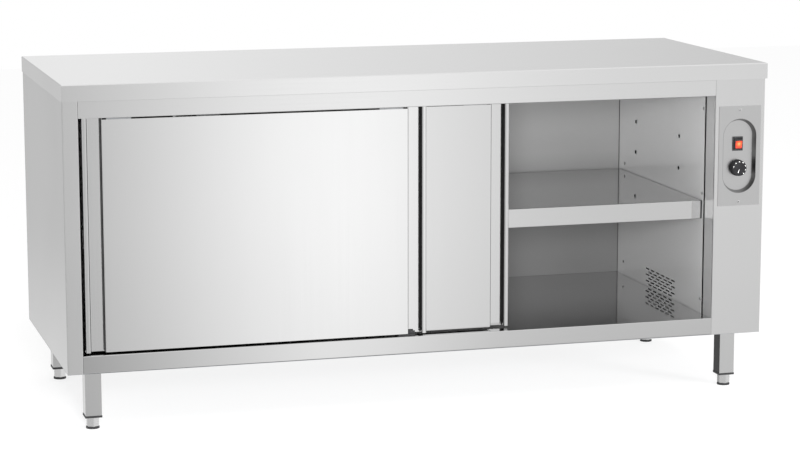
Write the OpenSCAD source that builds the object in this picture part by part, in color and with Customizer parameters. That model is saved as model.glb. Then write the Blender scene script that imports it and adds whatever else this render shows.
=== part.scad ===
// Plate warmer cabinet with a worktop, two sliding doors in a hanging track, a shelf and a blower heater.
// X runs along the front, Y to the back, Z up. The origin is on the floor below the middle of the worktop.

/* [Worktop] */
// Width of the worktop
top_w = 1800; // [1700:10:2000]
// Depth of the worktop
top_d = 700; // [680:5:760]
// Height of the worktop above the floor
top_z = 850; // [840:5:900]
// Height of the worktop's edge
top_edge = 40; // [34:1:44]
// Sheet of the worktop
top_sheet = 1.5; // [1:0.1:2]
// Rounding of the worktop's upper edges
top_round = 3; // [2:0.5:5]
// Width of the fold under the worktop's edge
top_return = 14; // [12:1:20]
// How far the worktop stands out over each side
side_overhang = 2; // [1:0.5:4]
// How far the worktop stands out over the front
front_overhang = 8; // [6:0.5:12]
// How far the worktop stands out over the back
back_overhang = 2; // [2:0.5:4]

/* [Casing] */
// Sheet of the casing
sheet = 1; // [0.8:0.1:1.2]
// Outer radius of a fold in the casing
fold_r = 2; // [1.6:0.2:2.6]
// Height of the rail above the doors
top_rail_h = 42; // [38:1:46]
// Height of the rail below the doors
bottom_rail_h = 44; // [42:1:50]
// Width of the stile left of the doors
stile_w = 38; // [34:1:44]
// Width of the control fascia right of the doors
fascia_w = 135.5; // [125:0.5:150]
// Depth of the door opening's jambs
jamb_d = 58; // [54:1:66]
// Gap between a jamb and the inner wall behind it
jamb_gap = 10.5; // [8:0.5:12]
// Width of the hidden flanges behind the jambs
flange_w = 25; // [24:1:30]
// Width of the hidden flanges at the casing's corners
edge_flange = 20; // [18:1:24]
// Width of the side panel's flange inside the control fascia
lap_flange = 15; // [12:1:18]
// Depth between the inner back wall and the back of the casing
back_wall_d = 15; // [14:1:20]
// Height of the inner ceiling above the door opening
ceiling_rise = 7; // [5:1:12]
// Thickness of the insulation above and below the chamber
insulation_t = 22; // [16:1:24]
// Width of the slit between the floor and the right inner wall
floor_slit_w = 2.5; // [1.5:0.5:4]

/* [Doors] */
// Thickness of a door
door_t = 19; // [18:0.5:20]
// Distance from the casing's front to the front door
door_set = 10; // [9:0.5:14]
// Distance from one door's front to the other's
door_pitch = 23; // [22:0.5:26]
// Gap between a closed door and the jamb
door_side_gap = 9; // [6:0.5:12]
// Gap above and below a door
door_end_gap = 5; // [4:0.5:7]
// How far the closed doors overlap
door_overlap = 101.5; // [98:0.5:130]
// How far the rear door stands open from the left jamb
rear_door_shift = 222; // [150:0.5:260]
// Width of the grip channel along each upright edge
grip_w = 49; // [46:1:60]
// Width of the round bead at the door's edge
bead_w = 12; // [10:1:14]
// Thickness of the dark liners in the grip channels
liner_t = 1; // [0.6:0.1:1.4]
// How far the grip channels run up past the skin
grip_rise = 8; // [4:1:9]
// Width of the slot under a door for the guide fin
fin_slot_w = 9; // [8:0.5:10]
// Thickness of a guide fin
fin_t = 4; // [3:0.5:5]
// Height of a guide fin inside the door
fin_h = 6; // [4:0.5:8]

/* [Door track] */
// Height of the door track
track_h = 31; // [29:0.5:33]
// Wall of the door track
track_wall = 2; // [1.6:0.2:2.4]
// Width of the slot in the track
track_slot_w = 6; // [5:0.5:8]
// Diameter of a door wheel
wheel_d = 24; // [20:0.5:25]
// Width of a door wheel
wheel_w = 6; // [5:0.5:7]
// Diameter of a door wheel's axle
axle_d = 6; // [5:0.5:7]
// Distance from a door's edge to its hanger
hanger_in = 90; // [80:1:120]
// Width of a hanger
hanger_w = 36; // [30:1:44]
// Thickness of a hanger
hanger_t = 3; // [2:0.5:3.5]
// Length of a rubber stop in the track
stop_l = 16; // [10:1:24]

/* [Shelf] */
// Height of the shelf's surface above the cabinet's floor
shelf_rise = 296; // [280:1:320]
// Height of the shelf's front lip
shelf_lip = 48; // [40:1:56]
// Height of the shelf's side lips
shelf_side_lip = 18.2; // [14:0.1:24]
// Gap between the shelf and each inner wall
shelf_gap = 2; // [1:0.5:4]
// Distance from the inner walls' front edge to the shelf's front
shelf_front_set = 3.5; // [2:0.5:12]
// Distance from the shelf's back edge to the inner back wall
shelf_back_set = 16; // [3:1:24]
// Diameter of a shelf pin
pin_d = 8; // [6:0.5:9]
// Distance that a shelf pin stands out of the wall
pin_out = 22; // [20:0.5:26]
// Upright distance from one shelf position to the next
row_pitch = 84; // [70:1:90]
// Front and back position of the shelf inserts, from the middle of the cabinet
insert_front_y = -106; // [-130:1:-80]
// Back position of the shelf inserts
insert_back_y = 205; // [180:1:230]
// Bore of a shelf insert
insert_bore = 5; // [4:0.2:5.4]
// Body diameter of a shelf insert
insert_d = 9; // [8:0.2:10]
// Length of a shelf insert
insert_len = 12; // [9:0.5:13]

/* [Air grille] */
// Distance from the grille's front slot to the middle of the cabinet
grille_front = 92; // [80:1:110]
// Length of a slot
slot_len = 28; // [20:0.5:32]
// Height of a slot
slot_h = 4; // [3:0.5:5]
// Distance from one slot to the next along a row
slot_pitch = 36.5; // [34:0.5:40]
// Distance from one row of slots to the next
slot_row = 8.5; // [7:0.5:9]
// Number of slots in a long row
slot_count = 6; // [4:1:7]
// Number of rows
slot_rows = 6; // [4:1:6]

/* [Legs] */
// Height of the casing above the floor
leg_h = 150; // [140:1:200]
// Width of a leg's square tube
leg_w = 40; // [36:1:44]
// Wall of a leg's tube
leg_wall = 2; // [1.5:0.1:2.5]
// Distance from the casing's side to a leg
leg_side_in = 48; // [44:1:60]
// Distance from the casing's front to a leg
leg_front_in = 50; // [48:1:70]
// Distance from the casing's back to a leg
leg_back_in = 50; // [44:1:70]
// Width of the plate on a leg
leg_plate_w = 80; // [70:1:84]
// Thickness of the plate on a leg
leg_plate_t = 4; // [3:0.5:5]
// Height of the tube's lower end above the floor
leg_foot_h = 34; // [32:0.5:40]
// Thickness of the plug's flange
plug_flange_t = 5; // [3:0.5:6]
// Distance that the plug's flange stands out of the tube
plug_proud = 0.8; // [0.4:0.1:1.2]
// Length of the plug inside the tube
plug_len = 20; // [16:1:26]
// Height of a foot's pad
pad_h = 5; // [4:0.5:7]
// Diameter of a foot's pad
pad_d = 33; // [30:1:38]
// Width across the flats of a foot's hexagon
hex_flats = 28.5; // [26:0.5:30]
// Diameter of a foot's spindle
spindle_d = 12; // [10:0.5:12]
// Length of a foot's spindle above its hexagon
spindle_len = 66; // [60:1:80]

/* [Controls] */
// Width of the control plate
plate_w = 114; // [106:1:118]
// Height of the control plate
plate_h = 256; // [240:1:280]
// Thickness of the control plate
plate_t = 2; // [1.5:0.1:3]
// Distance from the worktop's underside down to the control plate's middle
plate_drop = 197; // [185:1:220]
// Width of the dish in the control plate
dish_w = 90; // [84:1:92]
// Height of the dish in the control plate
dish_h = 190; // [184:1:200]
// Depth of the dish in the control plate
dish_d = 14; // [12:0.5:15]
// How far the dish's wall runs in from its rim
dish_run = 5; // [3:0.5:7]
// Distance from the plate's middle to each plate screw
plate_screw_z = 118; // [112:1:120]
// Height of the switch above the plate's middle
switch_z = 30; // [27:1:40]
// Width of the switch's bezel
bezel_w = 27; // [26:0.5:28]
// Height of the switch's bezel
bezel_h = 36; // [35:0.5:40]
// Width of the rocker
rocker_w = 21.4; // [20:0.1:21.4]
// Radius of the rocker's ends about its pivot
rocker_r = 13.5; // [13:0.1:15.6]
// Tilt of the rocker to each side
rocker_tilt = 8; // [6:0.5:9]
// Distance of the thermostat below the plate's middle
knob_z = 32; // [30:1:36]
// Diameter of the thermostat's knob
knob_d = 42; // [38:1:44]
// Depth of the thermostat's knob
knob_t = 16; // [12:0.5:16.5]
// Diameter of the thermostat's shaft
knob_shaft_d = 6; // [5:0.5:7]
// Depth of the thermostat behind the plate
thermostat_len = 28; // [24:1:34]
// Diameter of a cover screw's head
screw_head_d = 8; // [6:0.5:9]
// Height of a cover screw's head
screw_head_t = 1.6; // [1.2:0.1:2]
// Length of a plate screw
plate_screw_len = 10; // [8:0.5:14]
// Distance from the rear panel's upper and lower edges to its end screws
rear_screw_end = 60; // [40:1:80]
// Distance from the rear leg's plate to the cable gland
gland_in = 70; // [60:1:100]

/* [Blower heater] */
// Diameter of the blower's wheel
fan_d = 60; // [54:1:62]
// Length of the blower's wheel
fan_len = 190; // [180:1:196]
// Number of blades
fan_blades = 20; // [14:1:24]
// Distance from the inner wall to the blower's axis
fan_out = 70; // [67:1:74]
// Height of the blower's axis above the cabinet's floor
fan_rise = 56; // [54:1:66]
// Diameter of the blower's shaft
fan_shaft_d = 8; // [6:0.5:9]
// Diameter of the blower's motor
motor_d = 56; // [50:1:60]
// Length of the blower's motor
motor_len = 42; // [36:1:50]
// Diameter of the heating element's tube
heater_d = 8.5; // [7:0.5:9]
// Distance between the two runs of the heating element
heater_pitch = 18; // [18:0.5:20]
// Diameter of the heating element's fins
heater_fin_d = 15; // [13:0.5:16]
// Gap between the blower's wheel and its housing
fan_gap = 6; // [5:0.5:9]
// Gap between the cabinet's floor and the air duct
duct_gap = 2; // [1.5:0.5:3]
// Distance from the outer slots to the duct's ends
duct_end = 3; // [2:0.5:6]

/* [Hidden] */
$fn = 64;

// Clearances: fit between sheets, running fit on a radius, seat between bodies, and a cut's overshoot
fit = 0.2;
run_fit = 0.05;
seat = 0.3;
cut = 1;

// Casing faces
side_x = top_w / 2 - side_overhang;
front_y = -top_d / 2 + front_overhang;
back_y = top_d / 2 - back_overhang;
base_z = leg_h;
casing_b = base_z + sheet;
roof_z = top_z - top_edge;

// Door opening and chamber
open_l = -side_x + stile_w;
open_r = side_x - fascia_w;
open_b = base_z + bottom_rail_h;
open_t = roof_z - top_rail_h;
open_mid = (open_l + open_r) / 2;
chamber_front = front_y + jamb_d;
wall_front = chamber_front + jamb_gap;
chamber_back = back_y - back_wall_d;
ceiling_z = open_t + ceiling_rise;

// Doors
door_w = (open_r - open_l - 2 * door_side_gap + door_overlap) / 2;
front_door_x = open_l + door_side_gap;
rear_door_x = front_door_x + rear_door_shift;
front_door_y = front_y + door_set;
rear_door_y = front_door_y + door_pitch;
door_b = open_b + door_end_gap;
door_top = open_t - door_end_gap;
grip_top = door_top + grip_rise;
track_b = roof_z - sheet - track_h;
axle_z = track_b + track_wall + seat + wheel_d / 2;
hanger_foot_t = 3;
hanger_foot_l = 60;

// Shelf
shelf_top = open_b + shelf_rise;
shelf_l = open_l + shelf_gap;
shelf_r = open_r - shelf_gap;
shelf_front = wall_front + shelf_front_set;
shelf_back = chamber_back - shelf_back_set;
side_lip_b = shelf_top - shelf_side_lip;
pin_z = side_lip_b - seat - pin_d / 2;
insert_ys = [insert_front_y, insert_back_y];

// Legs
leg_xs = [-side_x + leg_side_in + leg_w / 2, side_x - leg_side_in - leg_w / 2];
leg_ys = [front_y + leg_front_in + leg_w / 2, back_y - leg_back_in - leg_w / 2];
plug_b = leg_foot_h - plug_flange_t;
pad_gap = 0.2;

// Controls
plate_x = side_x - fascia_w / 2;
plate_z = roof_z - plate_drop;
plate_y = front_y - plate_t;
dish_floor_y = plate_y + dish_d;
bezel_t = 3;
bezel_y = dish_floor_y - bezel_t;
pivot_y = bezel_y + 3;
knob_y = dish_floor_y - 1 - knob_t;

// Blower heater
fan_x = open_r + fan_out;
fan_z = open_b + fan_rise;
duct_front = -grille_front - duct_end;
duct_back = -grille_front + (slot_count - 1) * slot_pitch + slot_len + duct_end;
fan_mid = (duct_front + duct_back) / 2;
duct_b = open_b + duct_gap;
duct_t = duct_b + slot_row * (slot_rows - 1) + slot_h + 4;
heater_x = open_r + 22;
heater_z = (duct_b + duct_t) / 2;
gland_x = plate_x;
gland_y = leg_ys[1] - leg_plate_w / 2 - gland_in;
gland_bore = 9;

// Colours
steel = [0.80, 0.81, 0.82];
inner_steel = [0.62, 0.63, 0.63];
zinc = [0.70, 0.71, 0.72];
dark = [0.10, 0.10, 0.11];
chipboard = [0.72, 0.60, 0.44];
wool = [0.80, 0.74, 0.52];
lamp_red = [0.90, 0.22, 0.08];

// One flat stretch of a folded sheet, along a line between two points
module stretch(p, q, t) {
    lo = [min(p.x, q.x), min(p.y, q.y)];
    size = [abs(p.x - q.x), abs(p.y - q.y)];
    across = [size.x == 0 ? t : 0, size.y == 0 ? t : 0];
    translate(lo - across / 2) square(size + across);
}

// One fold: a quarter ring about the inside of a corner
module fold(corner, u, v, r, t) {
    centre = corner + (r - t / 2) * (u + v);
    lo = [min(centre.x, corner.x - (u.x + v.x) * t / 2), min(centre.y, corner.y - (u.y + v.y) * t / 2)];
    intersection() {
        translate(centre) difference() {
            circle(r = r);
            circle(r = r - t);
        }
        translate(lo) square(r);
    }
}

function unit(d) = d / norm(d);
function fold_at(radii, i) = is_list(radii) ? radii[i - 1] : radii;

// Outline of a folded sheet. The path is its middle line and turns at right angles; r is each fold's outer radius.
module sheet_outline(path, t, radii) {
    last = len(path) - 1;
    for (i = [0 : last - 1]) {
        d = unit(path[i + 1] - path[i]);
        from = i == 0 ? path[i] : path[i] + d * (fold_at(radii, i) - t / 2);
        to = i == last - 1 ? path[i + 1] : path[i + 1] - d * (fold_at(radii, i + 1) - t / 2);
        stretch(from, to, t);
    }
    for (i = [1 : last - 1])
        fold(path[i], unit(path[i - 1] - path[i]), unit(path[i + 1] - path[i]), fold_at(radii, i), t);
}

// Folded sheet standing upright: path in X and Y
module upright_sheet(path, z0, z1, t = sheet, radii = fold_r) {
    translate([0, 0, z0]) linear_extrude(z1 - z0) sheet_outline(path, t, radii);
}

// Folded sheet along X: path in Y and Z
module long_sheet(path, x0, x1, t = sheet, radii = fold_r) {
    translate([x0, 0, 0]) rotate([90, 0, 90]) linear_extrude(x1 - x0) sheet_outline(path, t, radii);
}

// Folded sheet along Y: path in X and Z
module deep_sheet(path, y0, y1, t = sheet, radii = fold_r) {
    translate([0, y1, 0]) rotate([90, 0, 0]) linear_extrude(y1 - y0) sheet_outline(path, t, radii);
}

// Box between two corners
module box(a, b) {
    translate(a) cube(b - a);
}

// Round bar along X or Y, from its end with the lower value
module bar_x(p, d, l) {
    translate(p) rotate([0, 90, 0]) cylinder(d = d, h = l);
}

module bar_y(p, d, l) {
    translate(p) rotate([-90, 0, 0]) cylinder(d = d, h = l);
}

// Outline of a worktop slice: two rounded upper corners
module rounded_top(w, h, r) {
    translate([-w / 2, 0]) square([w, h - r]);
    translate([-w / 2 + r, h - r]) square([w - 2 * r, r]);
    for (s = [-1, 1]) translate([s * (w / 2 - r), h - r]) circle(r = r);
}

// Solid block with its four upper edges rounded
module soft_block(w, d, h, r) {
    intersection() {
        translate([0, d / 2, 0]) rotate([90, 0, 0]) linear_extrude(d) rounded_top(w, h, r);
        translate([-w / 2, 0, 0]) rotate([90, 0, 90]) linear_extrude(w) rounded_top(d, h, r);
    }
}

module worktop() {
    inner_w = top_w - 2 * top_sheet;
    inner_d = top_d - 2 * top_sheet;
    color(steel) translate([0, 0, roof_z]) difference() {
        soft_block(top_w, top_d, top_edge, top_round);
        translate([0, 0, top_sheet])
            soft_block(inner_w, inner_d, top_edge - 2 * top_sheet, top_round - top_sheet + 0.5);
        box([-top_w / 2 + top_return, -top_d / 2 + top_return, -cut],
            [top_w / 2 - top_return, top_d / 2 - top_return, top_sheet + cut]);
    }
}

module worktop_underlay() {
    gap = top_sheet + fit;
    color(chipboard) box([-top_w / 2 + gap + 1, -top_d / 2 + gap + 1, roof_z + gap],
        [top_w / 2 - gap - 1, top_d / 2 - gap - 1, top_z - gap - 1]);
}

module left_side_panel() {
    h = sheet / 2;
    color(steel) difference() {
        upright_sheet([
            [-side_x + edge_flange, back_y - sheet - h], [-side_x + h, back_y - sheet - h],
            [-side_x + h, front_y + h], [open_l - h, front_y + h],
            [open_l - h, chamber_front - h], [open_l - flange_w, chamber_front - h]
        ], casing_b, roof_z);
        leg_plate_room();
    }
}

module right_side_panel() {
    h = sheet / 2;
    edge_y = front_y + edge_flange + fit + h;
    color(steel) upright_sheet([
        [side_x - edge_flange, back_y - sheet - h], [side_x - h, back_y - sheet - h],
        [side_x - h, edge_y], [side_x - lap_flange, edge_y]
    ], casing_b, roof_z);
}

// Room for the plates on the legs
module leg_plate_room() {
    r = leg_plate_w / 2 + 1;
    for (x = leg_xs) for (y = leg_ys)
        box([x - r, y - r, base_z - cut], [x + r, y + r, casing_b + leg_plate_t + 1]);
}

// Places of the rear panel's screws, as X and Z
function rear_screws() = [
    for (x = [-side_x + edge_flange / 2 + 1, side_x - edge_flange / 2 - 1])
        for (z = [base_z + rear_screw_end, (base_z + roof_z) / 2, roof_z - rear_screw_end]) [x, z]
];

screw_d = 4;
screw_hole_d = 4.4;

module rear_panel() {
    color(steel) difference() {
        box([-side_x, back_y - sheet, casing_b], [side_x, back_y, roof_z]);
        for (s = rear_screws()) bar_y([s.x, back_y - sheet - cut, s.y], screw_hole_d, sheet + 2 * cut);
    }
}

// Stadium-shaped prism or cone standing on the X and Y plane, its round ends above each other along Y
module stadium(w, h, t, w2) {
    run = h - w;
    for (s = [-1, 1]) translate([0, s * run / 2, 0]) cylinder(d1 = w, d2 = w2, h = t);
    translate([0, run / 2, 0]) rotate([90, 0, 0]) linear_extrude(run)
        polygon([[-w / 2, 0], [w / 2, 0], [w2 / 2, t], [-w2 / 2, t]]);
}

// Turns a shape's Z to point back along Y, with its own Y upright, at the control plate
module at_plate(y, z = 0) {
    translate([plate_x, y, plate_z + z]) rotate([-90, 0, 0]) mirror([0, 1, 0]) children();
}

dish_wall = 2;

module control_fascia() {
    h = sheet / 2;
    color(steel) difference() {
        upright_sheet([
            [side_x - h, front_y + edge_flange], [side_x - h, front_y + h], [open_r + h, front_y + h],
            [open_r + h, chamber_front - h], [open_r + flange_w, chamber_front - h]
        ], casing_b, roof_z);
        leg_plate_room();
        at_plate(front_y - cut)
            stadium(dish_w + 2 * dish_wall + 2, dish_h + 2 * dish_wall + 2, sheet + 2 * cut,
                dish_w + 2 * dish_wall + 2);
        for (s = [-1, 1])
            bar_y([plate_x, front_y - cut, plate_z + s * plate_screw_z], screw_hole_d, sheet + 2 * cut);
    }
}

// Shelf insert places as Y and Z, with the row that carries the shelf first
function insert_places() = [for (row = [0 : 2]) for (y = insert_ys) [y, pin_z + row * row_pitch]];

rivet_ys = [wall_front + 7.5, chamber_back - 45];
rivet_zs = [open_b + 36, shelf_top + 18, open_t - 40];
rivet_head_d = 8;
rivet_d = 3.2;

// Cuts the holes that both inner walls share. The wall's sheet starts at x and is one sheet thick.
module wall_holes(x) {
    for (p = insert_places()) bar_x([x - cut, p.x, p.y], insert_d + 2 * run_fit, sheet + 2 * cut);
    for (y = rivet_ys) for (z = rivet_zs) bar_x([x - cut, y, z], rivet_d + 2 * run_fit, sheet + 2 * cut);
}

wall_b = open_b - 20;

module left_inner_wall() {
    color(inner_steel) difference() {
        box([open_l - sheet, wall_front, wall_b], [open_l, chamber_back, ceiling_z]);
        wall_holes(open_l - sheet);
    }
}

module slot_x(x, y, z) {
    straight = slot_len - slot_h;
    translate([x, y, z]) rotate([90, 0, 90]) linear_extrude(sheet + 2 * cut) {
        square([straight, slot_h], center = true);
        for (s = [-1, 1]) translate([s * straight / 2, 0]) circle(d = slot_h, $fn = 24);
    }
}

module right_inner_wall() {
    color(inner_steel) difference() {
        box([open_r, wall_front, wall_b], [open_r + sheet, chamber_back, ceiling_z]);
        wall_holes(open_r);
        for (row = [0 : slot_rows - 1]) for (i = [0 : slot_count - 1 - row % 2])
            slot_x(open_r - cut, -grille_front + slot_len / 2 + (i + (row % 2) / 2) * slot_pitch,
                duct_t - 2 - slot_h / 2 - row * slot_row);
    }
}

module inner_back_wall() {
    color(inner_steel)
        box([open_l - sheet, chamber_back, wall_b], [open_r + sheet, chamber_back + sheet, ceiling_z]);
}

module inner_ceiling() {
    h = sheet / 2;
    color(inner_steel) long_sheet([
        [wall_front + h, roof_z - sheet - fit], [wall_front + h, ceiling_z + h],
        [chamber_back + sheet, ceiling_z + h]
    ], open_l - sheet, open_r + sheet);
}

module floor_panel() {
    h = sheet / 2;
    color(inner_steel) difference() {
        long_sheet([
            [front_y + edge_flange, casing_b + h], [front_y + h, casing_b + h],
            [front_y + h, open_b - h], [chamber_back, open_b - h]
        ], open_l, open_r);
        box([open_r - floor_slit_w, wall_front + 18, open_b - sheet - cut],
            [open_r + cut, chamber_back - 53, open_b + cut]);
    }
}

module under_panel() {
    color(zinc) difference() {
        box([-side_x, front_y, base_z], [side_x, back_y, base_z + sheet]);
        for (x = leg_xs) for (y = leg_ys)
            box([x - leg_w / 2 - fit, y - leg_w / 2 - fit, base_z - cut],
                [x + leg_w / 2 + fit, y + leg_w / 2 + fit, base_z + sheet + cut]);
        translate([gland_x, gland_y, base_z - cut]) cylinder(d = gland_d + 2 * run_fit, h = sheet + 2 * cut);
    }
}

module top_rail() {
    h = sheet / 2;
    color(steel) long_sheet([
        [wall_front + sheet, roof_z - h], [front_y + h, roof_z - h], [front_y + h, open_t + h],
        [front_y + 7, open_t + h]
    ], open_l, open_r);
}

// Middle of each door's thickness
front_mid_y = front_door_y + door_t / 2;
rear_mid_y = rear_door_y + door_t / 2;
track_inner = door_pitch - track_wall;

module door_track() {
    z1 = track_b + track_h;
    color(zinc) difference() {
        box([open_l + 1, front_mid_y - track_inner / 2 - track_wall, track_b],
            [open_r - 1, rear_mid_y + track_inner / 2 + track_wall, z1]);
        for (y = [front_mid_y, rear_mid_y]) {
            box([open_l, y - track_inner / 2, track_b + track_wall],
                [open_r, y + track_inner / 2, z1 - track_wall]);
            box([open_l, y - track_slot_w / 2, track_b - cut],
                [open_r, y + track_slot_w / 2, track_b + track_wall + cut]);
        }
    }
}

module door_guide() {
    l = 44;
    base_top = door_b - 1;
    color(dark) {
        box([open_mid - l / 2, front_mid_y - 7, open_b], [open_mid + l / 2, rear_mid_y + 7, base_top]);
        for (y = [front_mid_y, rear_mid_y])
            box([open_mid - l / 2, y - fin_t / 2, open_b], [open_mid + l / 2, y + fin_t / 2, door_b + fin_h]);
    }
}

// Rubber stops in the track. A hanger meets them when its door reaches a jamb.
module door_bumpers() {
    far = door_side_gap + hanger_in - hanger_w / 2 - seat;
    half = track_inner / 2 - fit;
    color(dark) for (y = [front_mid_y, rear_mid_y]) for (x = [open_l + far - stop_l, open_r - far])
        box([x, y - half, track_b + track_wall], [x + stop_l, y + half, track_b + track_h - track_wall - fit]);
}

module insulation_slabs() {
    gap = insert_len + 2;
    color(wool) difference() {
        insulation_blocks(gap);
        leg_plate_room();
    }
}

module insulation_blocks(gap) {
    box([-side_x + sheet + fit, wall_front + 4, base_z + 10], [open_l - gap, back_y - 4, roof_z - 10]);
    box([open_l + 5, chamber_back + sheet + 0.5, wall_b], [open_r - 5, back_y - sheet - 0.5, roof_z - 10]);
    box([open_l + 5, wall_front + 3, ceiling_z + sheet + 0.5],
        [open_r - 5, chamber_back - 3, ceiling_z + sheet + insulation_t]);
    box([leg_xs[0] + leg_plate_w / 2 + 5, wall_front, casing_b + seat],
        [open_r - 5, chamber_back - 3, casing_b + seat + insulation_t]);
    box([open_r + insert_len + seat, wall_front + 8, duct_t + 60],
        [open_r + insert_len + 20, chamber_back, roof_z - 40]);
}

module shelf_insert(bore) {
    flange_t = 0.8;
    difference() {
        union() {
            cylinder(d = insert_d, h = insert_len);
            translate([0, 0, -flange_t]) cylinder(d = insert_d + 2.5, h = flange_t);
        }
        translate([0, 0, -flange_t - cut]) cylinder(d = bore, h = insert_len + flange_t + 2 * cut);
    }
}

module shelf_inserts() {
    color(zinc) for (p = insert_places()) {
        translate([open_l, p.x, p.y]) rotate([0, -90, 0]) shelf_insert(insert_bore);
        translate([open_r, p.x, p.y]) rotate([0, 90, 0]) shelf_insert(insert_bore);
    }
}

module rivet() {
    cylinder(d = rivet_d, h = 4);
    translate([0, 0, -0.5]) cylinder(d = rivet_head_d, h = 0.5);
    translate([0, 0, -1.5]) cylinder(d1 = rivet_head_d / 2, d2 = rivet_head_d, h = 1);
}

module wall_rivets() {
    color(zinc) for (y = rivet_ys) for (z = rivet_zs) {
        translate([open_l, y, z]) rotate([0, -90, 0]) rivet();
        translate([open_r, y, z]) rotate([0, 90, 0]) rivet();
    }
}

// A shelf pin points out of the wall along its own negative Z
module shelf_pin() {
    flange_t = 0.8;
    translate([0, 0, -pin_out]) cylinder(d = pin_d, h = pin_out - flange_t);
    translate([0, 0, -flange_t - cut]) cylinder(d = insert_bore - 2 * run_fit, h = flange_t + cut + insert_len - 2);
}

module shelf_pins() {
    color(zinc) for (y = insert_ys) {
        translate([open_l, y, pin_z]) rotate([0, -90, 0]) shelf_pin();
        translate([open_r, y, pin_z]) rotate([0, 90, 0]) shelf_pin();
    }
}

module leg(i, j) {
    x = leg_xs[i];
    y = leg_ys[j];
    inner = leg_w / 2 - leg_wall;
    plate_b = base_z + sheet;
    color(steel) difference() {
        union() {
            box([x - leg_w / 2, y - leg_w / 2, leg_foot_h], [x + leg_w / 2, y + leg_w / 2, plate_b]);
            box([x - leg_plate_w / 2, y - leg_plate_w / 2, plate_b],
                [x + leg_plate_w / 2, y + leg_plate_w / 2, plate_b + leg_plate_t]);
        }
        box([x - inner, y - inner, leg_foot_h - cut], [x + inner, y + inner, plate_b]);
    }
}

module leg_plugs() {
    w = leg_w / 2 + plug_proud;
    inner = leg_w / 2 - leg_wall - fit / 2;
    color(dark) for (x = leg_xs) for (y = leg_ys) difference() {
        union() {
            box([x - w, y - w, plug_b], [x + w, y + w, leg_foot_h]);
            box([x - inner, y - inner, plug_b], [x + inner, y + inner, leg_foot_h + plug_len]);
        }
        translate([x, y, plug_b - cut])
            cylinder(d = spindle_d + 2 * run_fit, h = plug_flange_t + plug_len + 2 * cut);
    }
}

neck_d = 10;
neck_in = 3;

module foot_pad(i, j) {
    color(dark) translate([leg_xs[i], leg_ys[j], 0]) difference() {
        union() {
            cylinder(d = pad_d, h = pad_h - 1);
            translate([0, 0, pad_h - 1]) cylinder(d1 = pad_d, d2 = pad_d - 2, h = 1);
        }
        translate([0, 0, pad_h - neck_in - pad_gap]) cylinder(d = neck_d + 2 * run_fit, h = neck_in + cut);
    }
}

module foot_spindle(i, j) {
    hex_t = plug_b - seat;
    color(steel) translate([leg_xs[i], leg_ys[j], 0]) {
        translate([0, 0, pad_h + pad_gap]) rotate([0, 0, 30])
            cylinder(d = hex_flats / cos(30), h = hex_t - pad_h - pad_gap, $fn = 6);
        translate([0, 0, hex_t - cut]) cylinder(d = spindle_d, h = cut + spindle_len);
        translate([0, 0, pad_h - neck_in]) cylinder(d = neck_d, h = neck_in + pad_gap + cut);
    }
}

switch_body_w = bezel_w - 2;
switch_body_h = bezel_h - 2;
switch_body_d = 24;

module control_plate() {
    back = dish_wall * 2;
    screw_zs = [-plate_screw_z, plate_screw_z];
    color(steel) difference() {
        union() {
            box([plate_x - plate_w / 2, plate_y, plate_z - plate_h / 2],
                [plate_x + plate_w / 2, front_y, plate_z + plate_h / 2]);
            at_plate(plate_y)
                stadium(dish_w + back, dish_h + back, dish_d + dish_wall, dish_w + back - 2 * dish_run);
        }
        at_plate(plate_y - cut) stadium(dish_w + 2 * dish_run * cut / dish_d, dish_h + 2 * dish_run * cut / dish_d,
            dish_d + cut, dish_w - 2 * dish_run);
        for (z = screw_zs) bar_y([plate_x, plate_y - cut, plate_z + z], screw_hole_d, plate_t + 2 * cut);
        box([plate_x - switch_body_w / 2 - fit, dish_floor_y - cut, plate_z + switch_z - switch_body_h / 2 - fit],
            [plate_x + switch_body_w / 2 + fit, dish_floor_y + dish_wall + cut,
                plate_z + switch_z + switch_body_h / 2 + fit]);
        bar_y([plate_x, dish_floor_y - cut, plate_z - knob_z], bush_d + 2 * run_fit, dish_wall + 2 * cut);
    }
}

// A pan-head screw along Y, its head's front at the origin
module screw(l) {
    face_d = screw_head_d * 0.8;
    rim = 0.6;
    cross_l = screw_head_d / 2;
    cross_w = 0.9;
    cross_d = screw_head_t / 2;
    rotate([-90, 0, 0]) difference() {
        union() {
            cylinder(d1 = face_d, d2 = screw_head_d, h = rim);
            translate([0, 0, rim]) cylinder(d = screw_head_d, h = screw_head_t - rim);
            translate([0, 0, screw_head_t]) cylinder(d = screw_d, h = l);
        }
        for (a = [0, 90]) rotate([0, 0, a])
            translate([-cross_l / 2, -cross_w / 2, -cut]) cube([cross_l, cross_w, cross_d + cut]);
    }
}

module cover_screws() {
    color(zinc) {
        for (s = [-1, 1])
            translate([plate_x, plate_y - screw_head_t, plate_z + s * plate_screw_z]) screw(plate_screw_len);
        for (s = rear_screws()) translate([s.x, back_y + screw_head_t, s.y]) rotate([0, 0, 180]) screw(sheet);
    }
}

stub_d = 3;

module switch_housing() {
    cavity_w = rocker_w + 0.6;
    cavity_h = 2 * rocker_r + 0.8;
    stub_reach = (rocker_w / 2) + 1.5;
    color(dark) translate([plate_x, 0, plate_z + switch_z]) difference() {
        union() {
            box([-bezel_w / 2, bezel_y, -bezel_h / 2], [bezel_w / 2, dish_floor_y, bezel_h / 2]);
            box([-switch_body_w / 2, dish_floor_y, -switch_body_h / 2],
                [switch_body_w / 2, dish_floor_y + switch_body_d, switch_body_h / 2]);
        }
        box([-cavity_w / 2, bezel_y - cut, -cavity_h / 2], [cavity_w / 2, pivot_y + 10, cavity_h / 2]);
        bar_x([-stub_reach - 0.2, pivot_y, 0], stub_d + 2 * run_fit, 2 * stub_reach + 0.4);
    }
}

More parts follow.
